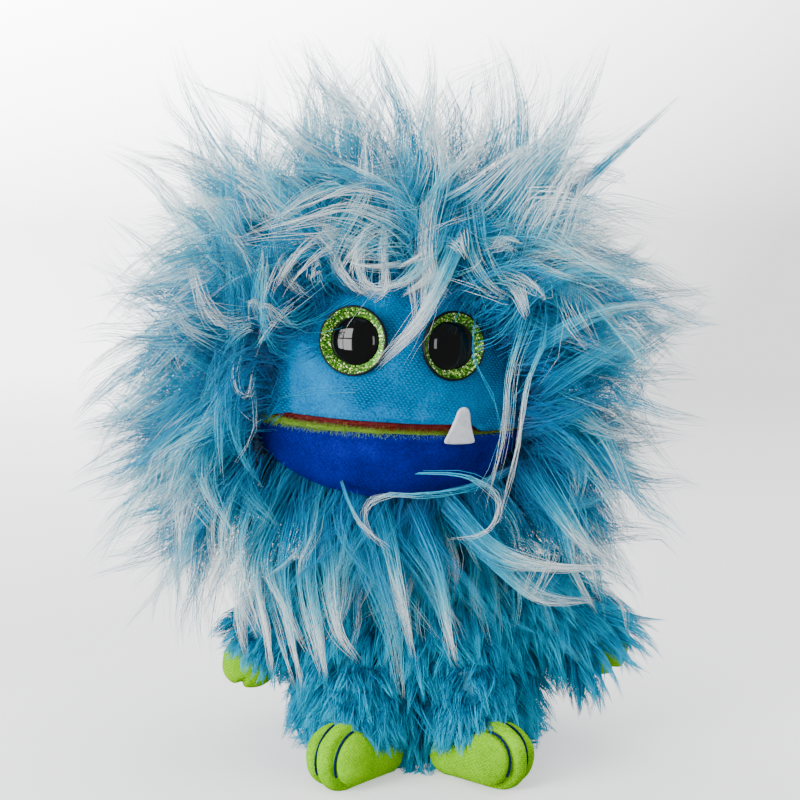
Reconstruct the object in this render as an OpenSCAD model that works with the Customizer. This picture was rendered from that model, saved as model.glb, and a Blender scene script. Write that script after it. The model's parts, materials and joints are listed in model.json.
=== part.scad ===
// Moving-mouth monster hand puppet: a shaggy head with a hinged jaw on a small plush body.
// Millimetres, +Z up, standing on z = 0, the face towards -Y. "Left" is the side at -X.

/* [Head] */
// Radius of the stuffed head at the mouth line
head_r = 50; // [48:0.5:52]
// Height of the mouth line above the floor
mouth_z = 128; // [126:0.5:130]
// Height of the stuffed crown above the mouth line
crown_h = 68; // [62:1:72]
// Fullness of the head's outline, 2 is an ellipse
head_power = 2.4; // [2:0.1:3]
// Turn of the head towards the right, degrees
head_turn = 6; // [0:1:8]
// Tilt of the head down towards the right, degrees
head_tilt = 3.5; // [0:0.5:4]

/* [Mouth] */
// Depth of the lower jaw below the mouth line
jaw_depth = 29; // [26:0.5:31]
// Distance of the mouth's fold behind the head's axis
fold_y = 6; // [5:0.5:7]
// Slope of the jaw's underside towards the fold, degrees
jaw_slope = 35; // [34:1:40]
// Thickness of the stiffening boards in the mouth
board_t = 2; // [1.5:0.1:2.2]
// Thickness of the plush that lines the mouth
cover_t = 2; // [1.5:0.1:2.2]
// Height of the fang
fang_h = 13; // [10:0.5:15]

/* [Eyes] */
// Outer radius of an eye
eye_r = 12; // [10:0.5:12.5]
// Radius of the black pupil dome
pupil_r = 8.4; // [7:0.1:8.6]
// Angle between the face's centre line and each eye, degrees
eye_spread = 20.5; // [20:0.5:26]
// Height of the eyes above the mouth line
eye_rise = 29; // [27:0.5:31]

/* [Mane] */
// Reach of the long hair to each side of the head's axis
mane_side = 104; // [96:1:108]
// Reach of the hair behind the head's axis
mane_back = 92; // [84:1:96]
// Reach of the hair over the brow, in front of the head's axis
mane_front = 68; // [60:1:72]
// Height of the top of the hair above the floor
mane_top = 251; // [240:1:256]

/* [Body] */
// Half width of the belly
belly_r = 41; // [40:0.5:42]
// Height of the body where it meets the neck
torso_h = 79; // [77:0.5:80]
// Half width of the hand sleeve inside the body
sleeve_r = 26; // [25:0.5:27]
// Radius of the neck's ball
neck_r = 25; // [23:0.5:25]

/* [Limbs] */
// Length from shoulder to the middle of the paw
arm_l = 34; // [32:1:36]
// Radius of the arm at its cuff
arm_r = 11.5; // [10:0.5:12]
// Angle of the left arm from straight down, degrees
arm_angle_left = 37; // [36:1:45]
// Angle of the right arm from straight down, degrees
arm_angle_right = 50; // [40:1:52]
// Radius of the foot's ball
foot_r = 12; // [11:0.5:12.5]
// Distance from the heel's centre to the ball's centre
foot_l = 22; // [19:1:23]
// Turn of the left toes outwards, degrees
foot_turn_left = 40; // [30:1:60]
// Turn of the right toes outwards, degrees
foot_turn_right = 48; // [40:1:70]

/* [Hidden] */

LEFT = -1;
RIGHT = 1;
round_fn = 72;
gap = 0.25;

plush_teal = [0.02, 0.56, 0.74];
hair_blue = [0.25, 0.66, 0.84];
face_blue = [0.05, 0.60, 0.88];
jaw_blue = [0.04, 0.20, 0.72];
lime = [0.60, 0.88, 0.14];
stuffing_white = [0.94, 0.94, 0.92];
lining_grey = [0.75, 0.78, 0.80];
board_brown = [0.70, 0.60, 0.45];

// The neck's ball and the head's axis measured from it
neck = [4, 9, 94];
head_from_neck = [-9, -19];
torso_at_x = 11;
torso_at_y = 10;

// Levels of the layers in the mouth, from the jaw's board up to the head's stuffing
slit = 0.6;
skin_t = 2;
jaw_cover_z = mouth_z - 0.4 - cover_t;
jaw_board_z = jaw_cover_z - board_t;
upper_cover_z = jaw_cover_z + cover_t + slit;
upper_board_z = upper_cover_z + cover_t;
stuffing_z = upper_board_z + board_t + 0.2;
head_bottom_z = 98;
brow_z = 178;
plate_r = head_r - 4;
lip_r = head_r - 0.2;
jaw_r = head_r - 1;
fold_r = 1.2;
plate_back_y = fold_y - 1.9;
chin_reach = 90;
mane_low_z = 95;
mane_mid_z = 162;
mane_low_reach = 100;

shank_r = 2.4;
shank_z = -11.5;
washer_r = 8;
washer_z = -8.4;

fang_t = 1.6;
fang_turn = 24;

// The finger pocket's half width, its radius and its top
pocket_w = 27;
pocket_r = 33;
pocket_top_z = 158;
pocket_t = 1.2;

belly_z = 30;
torso_reach = 61;
plush_t = 3;
sleeve_narrows = 8;
lining_t = 1.4;
hem_h = 4;
neck_t = 1.5;
neck_low_z = torso_h + 0.5;
neck_high_z = 100;

shoulder_z = 60;
shoulder_r = 9;
shoulder_x = 43.6;
shoulder_ahead = 14;
hip_x = 20;
hip_y = -36.5;
hip_z = 30;
hip_r = 9.5;
heel_r = 7.5;
sole_cut = 0.8;

// ---- outlines ----

// Head radius at a height, for a head made smaller all over by shrink
function head_at(z, shrink = 0) =
    let (reach = z >= mouth_z ? crown_h - shrink : chin_reach)
    (head_r - shrink) * pow(1 - pow(abs(z - mouth_z) / reach, head_power), 1 / head_power);

function head_wall(z0, z1, shrink, steps = 8) =
    [for (i = [0:steps]) let (z = z0 + (z1 - z0) * i / steps) [head_at(z, shrink), z]];

// Head outline from height z0 up to the crown's point on the axis
function head_dome(z0, shrink, steps = 12) =
    let (r = head_r - shrink, h = crown_h - shrink, e = 2 / head_power,
         t0 = asin(pow((z0 - mouth_z) / h, 1 / e)))
    [for (i = [0:steps]) let (t = t0 + (90 - t0) * i / steps)
        [i == steps ? 0 : r * pow(cos(t), e), mouth_z + h * pow(sin(t), e)]];

// Hair outline from height z0 up to its top, for hair reaching this far from the axis
function mane_dome(reach, z0, steps = 14) =
    let (up = mane_top - mane_mid_z,
         t0 = z0 < mane_mid_z ? -asin((mane_mid_z - z0) / mane_low_reach)
                              : asin((z0 - mane_mid_z) / up))
    [for (i = [0:steps]) let (t = t0 + (90 - t0) * i / steps)
        [i == steps ? 0 : reach * cos(t), mane_mid_z + (t < 0 ? mane_low_reach : up) * sin(t)]];

function jaw_wall(shrink, z0, steps = 10) =
    let (r = jaw_r - shrink, h = jaw_depth - shrink, t0 = asin((mouth_z - z0) / h))
    [for (i = [0:steps]) let (t = t0 + (90 - t0) * i / steps)
        [i == steps ? 0 : r * cos(t), mouth_z - h * sin(t)]];

function torso_at(z) = belly_r * sqrt(1 - pow((z - belly_z) / torso_reach, 2));

function torso_wall(z0, z1, shrink, steps = 10) =
    [for (i = [0:steps]) let (z = z0 + (z1 - z0) * i / steps) [torso_at(z) - shrink, z]];

// The hand sleeve is straight to half way up the body, then narrows to the neck
function sleeve_wall(z0, z1, grow, steps = 8) =
    [for (i = [0:steps]) let (z = z0 + (z1 - z0) * i / steps,
        narrow = max(0, (z - torso_h / 2) / (torso_h / 2)))
        [sleeve_r - sleeve_narrows * pow(narrow, 2) + grow, z]];

function reverse(list) = [for (i = [len(list) - 1:-1:0]) list[i]];

// ---- placing ----

// Part of a turned shape between two angles from the front, growing towards the right
module sector(from, to)
    rotate([0, 0, from - 90]) rotate_extrude(angle = to - from, $fn = round_fn) children();

// Head parts are drawn round the head's own upright axis
module in_head()
    translate(neck) rotate([0, head_tilt, 0]) rotate([0, 0, head_turn])
        translate([head_from_neck[0], head_from_neck[1], -neck[2]]) children();

module in_torso()
    translate([torso_at_x, torso_at_y, 0]) children();

// An eye's own axis is its Z, pointing out of the face, with z = 0 on the cup's seat
module on_face(side)
    translate([0, 0, mouth_z + eye_rise]) rotate([0, 0, side * eye_spread])
        translate([0, -head_at(mouth_z + eye_rise) - 0.6, 0]) rotate([86, 0, 0]) children();

module at_eye(side) in_head() on_face(side) children();

// An arm hangs along its own -Z from the shoulder
module at_shoulder(side)
    translate([torso_at_x + side * shoulder_x, torso_at_y - shoulder_ahead, shoulder_z])
        rotate([0, -side * (side == LEFT ? arm_angle_left : arm_angle_right), 0]) children();

module at_ankle(side)
    translate([torso_at_x + side * hip_x, hip_y - 6, 0]) children();

// ---- body ----

module body_plush(from) color(plush_teal) in_torso() sector(from, from + 180)
    polygon(concat(torso_wall(hem_h, torso_h, 0), reverse(torso_wall(hem_h, torso_h, plush_t))));

module belly_stuffing() color(stuffing_white) in_torso() rotate_extrude($fn = round_fn)
    polygon(concat(torso_wall(hem_h, torso_h, plush_t + gap),
                   reverse(sleeve_wall(hem_h, torso_h, lining_t + gap))));

module sleeve_lining() color(lining_grey) in_torso() rotate_extrude($fn = round_fn)
    polygon(concat(sleeve_wall(0.5, torso_h, lining_t), reverse(sleeve_wall(0.5, torso_h, 0))));

module hem_ring() color(plush_teal) in_torso() rotate_extrude($fn = round_fn)
    polygon([[sleeve_r + lining_t + gap, 0], [torso_at(0) - 2, 0], [torso_at(1.5), 1.5],
             [torso_at(hem_h - gap), hem_h - gap], [sleeve_r + lining_t + gap, hem_h - gap]]);

module ball_band(r) translate(neck) intersection() {
    sphere(r = r, $fn = round_fn);
    translate([-50, -50, neck_low_z - neck[2]]) cube([100, 100, neck_high_z - neck_low_z]);
}

module neck_gusset() color(plush_teal) difference() {
    ball_band(neck_r);
    translate(neck) sphere(r = neck_r - neck_t, $fn = round_fn);
}

// ---- head ----

// Upright hollow for the fingers, the same round shape as the pocket that lines it
module finger_space(shrink, z0, z1) intersection() {
    translate([0, 0, z0]) cylinder(r = pocket_r - shrink, h = z1 - z0, $fn = round_fn);
    translate([shrink - pocket_w, -60, z0]) cube([2 * (pocket_w - shrink), 120, z1 - z0]);
}

// Hollow for an eye's shank and for the washer that locks it
module eye_bed(side) on_face(side) {
    translate([0, 0, shank_z - 1]) cylinder(r = shank_r + 0.8, h = 30, $fn = 24);
    translate([0, 0, washer_z - 0.5]) cylinder(r = washer_r + 0.6, h = 2.6, $fn = 32);
}

module head_stuffing() color(stuffing_white) in_head() difference() {
    rotate_extrude($fn = round_fn) polygon(concat(
        [[0, head_bottom_z]], head_wall(head_bottom_z, mouth_z, skin_t + gap),
        head_dome(mouth_z + 0.01, skin_t + gap, 18)));
    translate([-60, -60, head_bottom_z - 1]) cube([120, 62 + fold_y, stuffing_z - head_bottom_z + 1]);
    finger_space(-gap, head_bottom_z - 1, pocket_top_z + gap);
    translate([-head_from_neck[0], -head_from_neck[1], neck[2]])
        sphere(r = neck_r + 0.6, $fn = round_fn);
    for (side = [LEFT, RIGHT]) eye_bed(side);
}

module face_panel() color(face_blue) in_head() difference() {
    sector(-64, 64)
        polygon(concat(head_wall(upper_board_z, brow_z, 0),
                       reverse(head_wall(upper_board_z, brow_z, skin_t))));
    for (side = [LEFT, RIGHT]) {
        eye_bed(side);
        // The eye presses a flat seat into the face's pile
        on_face(side) translate([0, 0, -0.7]) cylinder(r = eye_r + 0.2, h = 20, $fn = 48);
    }
}

module hood_panel(from, to, z0) color(hair_blue) in_head() sector(from, to)
    polygon(concat(head_wall(z0, brow_z, 0, 12), reverse(head_wall(z0, brow_z, skin_t, 12))));

module hood_crown() color(hair_blue) in_head() rotate_extrude($fn = round_fn)
    polygon(concat(head_dome(brow_z, 0), reverse(head_dome(brow_z, skin_t))));

module mane(from, to, reach, z0) color(hair_blue) in_head() sector(from, to)
    polygon(concat(mane_dome(reach, z0),
        reverse(head_dome(max(z0, mouth_z) + 0.01, -gap)),
        z0 < mouth_z ? reverse(head_wall(z0, mouth_z - 1, -gap, 4)) : []));

module forelock() color([0.80, 0.90, 0.95]) in_head()
    translate([6, -mane_front + 4, 174]) rotate([172, 8, 0])
        rotate_extrude($fn = 36) polygon(concat(
            [for (t = [-90:15:0]) [7 * cos(t), 7 * sin(t)]], [[5, 10], [2, 17], [0, 18]]));

module mouth_plate(r, z, t) translate([0, 0, z]) difference() {
    cylinder(r = r, h = t, $fn = round_fn);
    translate([-60, plate_back_y, -1]) cube([120, 60, t + 2]);
}

module upper_board() color(board_brown) in_head() mouth_plate(plate_r, upper_board_z, board_t);

module upper_cover() color([0.72, 0.05, 0.08]) in_head() mouth_plate(lip_r, upper_cover_z, cover_t);

module mouth_fold() color([0.72, 0.05, 0.08]) in_head()
    translate([0, fold_y, mouth_z]) rotate([0, 90, 0])
        cylinder(r = fold_r, h = 1.7 * head_r, center = true, $fn = 24);

module finger_pocket() color(lining_grey) in_head() difference() {
    finger_space(0, stuffing_z, pocket_top_z);
    finger_space(pocket_t, stuffing_z - 1, pocket_top_z - pocket_t);
}

// ---- eyes ----

module eye_cup(side) color([0.06, 0.06, 0.06]) at_eye(side)
    rotate_extrude($fn = round_fn) polygon([
        [0, 0.2], [pupil_r + 1, 0.2], [eye_r - 0.8, 2.6], [eye_r - 0.4, 3.1], [eye_r, 2.6],
        [eye_r - 0.2, 1.2], [eye_r - 1.6, 0], [shank_r, -0.5], [shank_r, shank_z + 1],
        [shank_r - 0.8, shank_z], [0, shank_z]]);

module eye_iris(side) color([0.35, 0.72, 0.12]) at_eye(side) rotate_extrude($fn = round_fn)
    polygon([[pupil_r + 0.1, 0.3], [pupil_r + 1, 0.3], [eye_r - 0.9, 2.6], [eye_r - 1.1, 2.8],
             [pupil_r + 0.1, 0.9]]);

module eye_pupil(side) color([0.01, 0.01, 0.01]) at_eye(side) rotate_extrude($fn = round_fn)
    polygon(concat([[0, 0.3], [pupil_r, 0.3]],
        [for (t = [10:10:90]) [t == 90 ? 0 : pupil_r * cos(t), 0.5 + 4.2 * sin(t)]]));

module eye_washer(side) color([0.9, 0.9, 0.88]) at_eye(side)
    translate([0, 0, washer_z]) difference() {
        cylinder(r = washer_r, h = 1.6, $fn = 48);
        translate([0, 0, -1]) cylinder(r = shank_r + 0.1, h = 4, $fn = 24);
    }

// ---- jaw ----

// Cuts away all that would meet the neck when the jaw drops
module jaw_room() {
    translate([0, fold_y, mouth_z]) rotate([jaw_slope, 0, 0])
        translate([-80, -100, -80]) cube([160, 200, 80]);
    translate([-80, plate_back_y, 60]) cube([160, 80, 90]);
}

// The jaw's outside as a solid, to cut what lies against it
module jaw_solid(grow) rotate_extrude($fn = round_fn)
    polygon(concat([[0, jaw_cover_z]], jaw_wall(-grow, jaw_cover_z)));

module jaw_skin() color(jaw_blue) in_head() difference() {
    rotate_extrude($fn = round_fn)
        polygon(concat(jaw_wall(0, jaw_cover_z), reverse(jaw_wall(skin_t, jaw_cover_z))));
    jaw_room();
}

// Hollow for the thumb under the jaw's board
module thumb_space(grow) translate([-13 - grow, -30.5 - grow, 111.5 - grow])
    cube([2 * (13 + grow), 60, 8 + 2 * grow]);

module jaw_stuffing() color(stuffing_white) in_head() difference() {
    rotate_extrude($fn = round_fn)
        polygon(concat([[0, jaw_board_z - 0.2]], jaw_wall(skin_t + gap, jaw_board_z - 0.2)));
    jaw_room();
    thumb_space(pocket_t + gap);
}

module jaw_board() color(board_brown) in_head() mouth_plate(plate_r - 1, jaw_board_z, board_t);

module jaw_cover() color([0.58, 0.70, 0.10]) in_head() mouth_plate(lip_r, jaw_cover_z, cover_t);

module thumb_pocket() color(lining_grey) in_head() difference() {
    thumb_space(pocket_t);
    thumb_space(0);
    jaw_room();
}

// Felt tooth whose root is sewn to the jaw's skin, with its blade outside the upper lip
module fang() color([0.96, 0.96, 0.94]) in_head() difference() {
    rotate([0, 0, fang_turn]) translate([0, -head_r - 0.5, jaw_cover_z - 3]) {
        rotate([90, 0, 0]) linear_extrude(fang_t)
            polygon([[-6, 0], [-6, 2], [-1.6, fang_h + 1.5], [-0.8, fang_h + 2.5],
                     [0.8, fang_h + 2.5], [1.8, fang_h + 1.3], [6, 2], [6, 0]]);
        translate([-5, -0.1, 0]) cube([10, 3, 2.6]);
    }
    jaw_solid(0.02);
}

// Hair sewn on under the chin
module beard() color(hair_blue) in_head() difference() {
    sector(-50, 50) polygon([[36, 91], [40, 89], [48, 90], [54, 95], [56, 101],
                             [53, 108], [47, 112], [38, 106], [36, 104]]);
    jaw_solid(0.02);
}

// ---- arms ----

module sleeve(side) color(plush_teal) at_shoulder(side) rotate_extrude($fn = 48)
    polygon(concat([for (t = [90:-15:0]) [t == 90 ? 0 : shoulder_r * cos(t), shoulder_r * sin(t)]],
        [[arm_r, -18], [arm_r, -23], [arm_r - 2, -24], [arm_r - 2, -18], [shoulder_r - 2, 0]],
        [for (t = [15:15:90]) [t == 90 ? 0 : (shoulder_r - 2) * cos(t), (shoulder_r - 2) * sin(t)]]));

module arm_stuffing(side) color(stuffing_white) at_shoulder(side) rotate_extrude($fn = 36)
    polygon(concat([[0, -21.5], [arm_r - 2.3, -21.5], [arm_r - 2.3, -18], [shoulder_r - 2.3, 0]],
        [for (t = [15:15:90]) [t == 90 ? 0 : (shoulder_r - 2.3) * cos(t), (shoulder_r - 2.3) * sin(t)]]));

module paw(side) color(lime) at_shoulder(side) {
    rotate_extrude($fn = 48) polygon(concat([[0, -22], [arm_r - 2.4, -22], [arm_r - 2.4, -24.3]],
        [for (t = [15:-15:-90]) [t == -90 ? 0 : 9.6 * cos(t), -arm_l + 9.6 * sin(t)]]));
    translate([-side * 6.5, -3, -arm_l + 1]) sphere(r = 5.6, $fn = 36);
}

// ---- legs ----

function foot_turn(side) = side * (side == LEFT ? foot_turn_left : foot_turn_right);

// Heel and ball of the foot joined by a cone, along the foot's own +X
module foot_shape(side, grow = 0) at_ankle(side) rotate([0, 0, foot_turn(side) - 90])
    translate([-foot_l / 2, 0, 0])
        translate([0, 0, heel_r - sole_cut]) rotate([0, 90 - atan2(foot_r - heel_r, foot_l), 0])
            let (span = norm([foot_l, foot_r - heel_r]), lean = asin((foot_r - heel_r) / span))
            rotate_extrude($fn = round_fn) polygon(concat(
                [for (i = [0:8]) let (t = -90 + (90 - lean) * i / 8)
                    [i == 0 ? 0 : (heel_r + grow) * cos(t), (heel_r + grow) * sin(t)]],
                [for (i = [0:10]) let (t = -lean + (90 + lean) * i / 10)
                    [i == 10 ? 0 : (foot_r + grow) * cos(t), span + (foot_r + grow) * sin(t)]]));

module foot(side) color(lime) difference() {
    foot_shape(side);
    translate([-100, -120, -20]) cube([200, 200, 20]);
}

// Two embroidered lines over the toes, each a ring round the foot's ball
module toe_stitches(side) color([0.05, 0.18, 0.42]) at_ankle(side)
    rotate([0, 0, foot_turn(side) - 90]) translate([foot_l / 2, 0, foot_r - sole_cut])
        for (line = [-1, 1]) translate([0, line * 4, 0])
            let (ring = sqrt(pow(foot_r, 2) - 16))
            rotate([90, 0, 0]) rotate([0, 0, -42])
                rotate_extrude(angle = 92, $fn = 48) translate([ring, 0]) circle(r = 0.6, $fn = 16);

module leg_shape(side, r) translate([torso_at_x + side * hip_x, hip_y, hip_z])
    rotate([-16, 0, 0]) rotate_extrude($fn = 48) polygon(concat([[0, -22], [r + 1, -22]],
        [for (t = [0:15:90]) [t == 90 ? 0 : r * cos(t), r * sin(t)]]));

module leg_plush(side) color(plush_teal) difference() {
    leg_shape(side, hip_r);
    leg_shape(side, hip_r - 2);
    foot_shape(side, gap);
}

module leg_stuffing(side) color(stuffing_white) difference() {
    leg_shape(side, hip_r - 2 - gap);
    foot_shape(side, gap);
}

body_plush(-90);  // body_front_plush
body_plush(90);  // body_back_plush
belly_stuffing();
sleeve_lining();
hem_ring();
neck_gusset();
head_stuffing();
face_panel();
hood_panel(-100, -64, upper_board_z);  // hood_left
hood_panel(64, 100, upper_board_z);  // hood_right
hood_panel(100, 260, head_bottom_z);  // hood_back
hood_crown();
mane(-62, 62, mane_front, 184);  // mane_brow
mane(-130, -66, mane_side, mane_low_z);  // mane_left
mane(66, 130, mane_side, mane_low_z);  // mane_right
mane(180, 229.5, mane_back, mane_low_z);  // mane_back_left
mane(130.5, 180, mane_back, mane_low_z);  // mane_back_right
forelock();
upper_board();
upper_cover();
mouth_fold();
finger_pocket();
eye_cup(LEFT);  // eye_cup_left
eye_cup(RIGHT);  // eye_cup_right
eye_iris(LEFT);  // eye_iris_left
eye_iris(RIGHT);  // eye_iris_right
eye_pupil(LEFT);  // eye_pupil_left
eye_pupil(RIGHT);  // eye_pupil_right
eye_washer(LEFT);  // eye_washer_left
eye_washer(RIGHT);  // eye_washer_right
jaw_skin();
jaw_stuffing();
jaw_board();
jaw_cover();
thumb_pocket();
fang();
beard();
sleeve(LEFT);  // sleeve_left
sleeve(RIGHT);  // sleeve_right
arm_stuffing(LEFT);  // arm_stuffing_left
arm_stuffing(RIGHT);  // arm_stuffing_right
paw(LEFT);  // paw_left
paw(RIGHT);  // paw_right
leg_plush(LEFT);  // leg_plush_left
leg_plush(RIGHT);  // leg_plush_right
leg_stuffing(LEFT);  // leg_stuffing_left
leg_stuffing(RIGHT);  // leg_stuffing_right
foot(LEFT);  // foot_left
foot(RIGHT);  // foot_right
toe_stitches(LEFT);  // toe_stitches_left
toe_stitches(RIGHT);  // toe_stitches_right
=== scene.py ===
"""Moving mouth puppet: a shaggy blue monster hand puppet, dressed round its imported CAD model.

Sizes in this script are millimetres in the head's or the row's frame; MM turns them into metres.
The head's frame has its origin on the head's upright axis at floor height, -Y out of the face.
"""
import json
import math
import bmesh
import bpy
import numpy as np
from mathutils import Matrix, Vector


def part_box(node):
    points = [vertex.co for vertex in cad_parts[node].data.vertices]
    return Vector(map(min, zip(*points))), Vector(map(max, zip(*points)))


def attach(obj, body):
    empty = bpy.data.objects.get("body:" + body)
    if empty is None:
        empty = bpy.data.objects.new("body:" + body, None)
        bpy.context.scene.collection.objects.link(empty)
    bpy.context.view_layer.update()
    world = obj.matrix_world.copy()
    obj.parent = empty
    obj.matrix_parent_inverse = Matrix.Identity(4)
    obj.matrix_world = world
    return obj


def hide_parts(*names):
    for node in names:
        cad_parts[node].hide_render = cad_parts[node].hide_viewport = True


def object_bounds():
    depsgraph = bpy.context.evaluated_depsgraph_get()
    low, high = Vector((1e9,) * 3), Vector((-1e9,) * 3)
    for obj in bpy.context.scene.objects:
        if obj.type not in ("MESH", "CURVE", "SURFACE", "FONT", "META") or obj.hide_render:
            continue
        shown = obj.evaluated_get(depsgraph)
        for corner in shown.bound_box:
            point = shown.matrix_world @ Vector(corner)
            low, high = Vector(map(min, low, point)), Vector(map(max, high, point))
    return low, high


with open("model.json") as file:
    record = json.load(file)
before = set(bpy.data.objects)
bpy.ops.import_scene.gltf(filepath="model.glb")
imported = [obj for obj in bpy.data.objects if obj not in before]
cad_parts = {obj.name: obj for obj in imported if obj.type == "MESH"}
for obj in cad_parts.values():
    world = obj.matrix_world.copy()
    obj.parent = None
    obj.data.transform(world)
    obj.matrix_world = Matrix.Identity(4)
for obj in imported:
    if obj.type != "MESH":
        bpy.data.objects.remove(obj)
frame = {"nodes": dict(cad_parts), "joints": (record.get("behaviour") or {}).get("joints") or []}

cad_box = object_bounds()
MM, TURN = 0.001, 2 * math.pi
rng = np.random.default_rng(7)

# ---------------- sizes and places

JOINTS = {j["name"]: j for j in frame["joints"]}
HEAD_R, MOUTH_Z, CROWN_H, CHIN_REACH, HEAD_POWER = 50.0, 128.0, 68.0, 90.0, 2.4
JAW_R, JAW_DEPTH, JAW_SLOPE = 49.0, 29.0, math.radians(35)
FOLD_Y, PLATE_BACK_Y = 6.0, 4.1
HEAD_BOTTOM_Z = 98.0
EYE_Z, EYE_SPREAD = MOUTH_Z + 29.0, math.radians(20.5)
BELLY_R, BELLY_Z, TORSO_REACH, TORSO_H = 41.0, 30.0, 61.0, 79.0
FOOT_R, HEEL_R, FOOT_L, SOLE_CUT = 12.0, 7.5, 22.0, 0.8
ARM_L, ARM_R, SHOULDER_R = 34.0, 11.5, 9.0


def pivot(joint):
    return np.array(JOINTS[joint]["pos_m"]) / MM


# The head's axes: X is the jaw's hinge, Z leans with the head's tilt
head_x = np.array(JOINTS["jaw_hinge"]["axis"])
tilt = math.atan2(-head_x[2], head_x[0])
head_z = np.array([math.sin(tilt), 0, math.cos(tilt)])
HEAD_AXES = np.stack([head_x, np.cross(head_z, head_x), head_z], axis=1)
HEAD_ORIGIN = pivot("jaw_hinge") - HEAD_AXES @ np.array([0, FOLD_Y, MOUTH_Z])


TORSO_XY = np.array(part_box("hem_ring")).mean(0)[:2] / MM


def from_head(points):
    """Head frame to row frame, both in millimetres."""
    return np.asarray(points, float) @ HEAD_AXES.T + HEAD_ORIGIN


def unit(v):
    return v / np.maximum(np.linalg.norm(v, axis=-1, keepdims=True), 1e-9)


def head_radius(z, grow=0.0):
    """The stuffed head's radius at a height."""
    reach = np.where(z >= MOUTH_Z, CROWN_H + grow, CHIN_REACH)
    share = np.clip(np.abs(z - MOUTH_Z) / reach, 0, 1)
    return (HEAD_R + grow) * (1 - share ** HEAD_POWER) ** (1 / HEAD_POWER)


def torso_radius(z):
    return BELLY_R * np.sqrt(np.clip(1 - ((z - BELLY_Z) / TORSO_REACH) ** 2, 0, 1))


def smooth(x, low, high):
    t = np.clip((x - low) / (high - low), 0, 1)
    return t * t * (3 - 2 * t)


def ripple(p, size, seed=0.0):
    """Smooth waves over a point cloud, about -1 to 1, each about this many millimetres long."""
    q = p / size * 2 * math.pi
    return (np.sin(q[..., 0] + 1.7 * np.sin(q[..., 1] * 0.7 + seed) + seed)
            + np.sin(q[..., 1] * 1.1 + 1.3 * np.sin(q[..., 2] * 0.8 + 2 * seed))
            + np.sin(q[..., 2] * 0.9 + 1.5 * np.sin(q[..., 0] * 0.6 + 3 * seed))) / 3


# ---------------- meshes

def placed(name, data):
    thing = bpy.data.objects.new(name, data)
    bpy.context.scene.collection.objects.link(thing)
    return thing


def new_object(name, mesh, material, body, replaces=()):
    piece = placed(name, mesh)
    mesh.materials.append(material)
    mesh.polygons.foreach_set("use_smooth", [True] * len(mesh.polygons))
    if body:
        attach(piece, body)
    if replaces:
        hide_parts(*replaces)
    return piece


def rotation(degrees, axis):
    return np.array(Matrix.Rotation(math.radians(degrees), 3, axis))


def swollen(points, centre, amount):
    """Points moved by an amount each, straight away from a centre."""
    return points + unit(points - centre) * amount[:, None]


def mesh_of(name, points, faces):
    """A closed mesh from points in millimetres, with its normals turned outward."""
    mesh = bpy.data.meshes.new(name)
    mesh.from_pydata([tuple(p) for p in np.asarray(points, float) * MM], [], faces)
    mesh.validate()
    mesh.update()
    work = bmesh.new()
    work.from_mesh(mesh)
    bmesh.ops.remove_doubles(work, verts=work.verts, dist=1e-6)
    bmesh.ops.recalc_face_normals(work, faces=work.faces)
    work.to_mesh(mesh)
    work.free()
    return mesh


def grid_faces(rows, columns, closed_rows=False, closed_columns=False):
    """Quads over a grid of points numbered row by row."""
    def at(i, j):
        return i % rows * columns + j % columns

    return [(at(i, j), at(i, j + 1), at(i + 1, j + 1), at(i + 1, j))
            for i in range(rows - (not closed_rows)) for j in range(columns - (not closed_columns))]


def sewn(name, points, faces, material, body, replaces=()):
    """A closed piece from points in the row frame."""
    return new_object(name, mesh_of(name, points, faces), MATERIALS[material], body, replaces)


def turned(outline, columns):
    """Points and faces of a closed outline of (radius, height) turned round the Z axis."""
    angles = np.linspace(0, TURN, columns, endpoint=False)
    outline = np.asarray(outline, float)
    points = np.stack([outline[:, :1] * np.cos(angles), outline[:, :1] * np.sin(angles),
                       np.repeat(outline[:, 1:2], columns, 1)], axis=-1)
    return points.reshape(-1, 3), grid_faces(len(outline), columns, True, True)


# ---------------- materials

def rgba(colour):
    """A grey or three numbers, with full alpha. A node's output stays as it is."""
    if isinstance(colour, bpy.types.NodeSocket):
        return colour
    return (colour,) * 3 + (1,) if isinstance(colour, float) else (*colour, 1)


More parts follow.
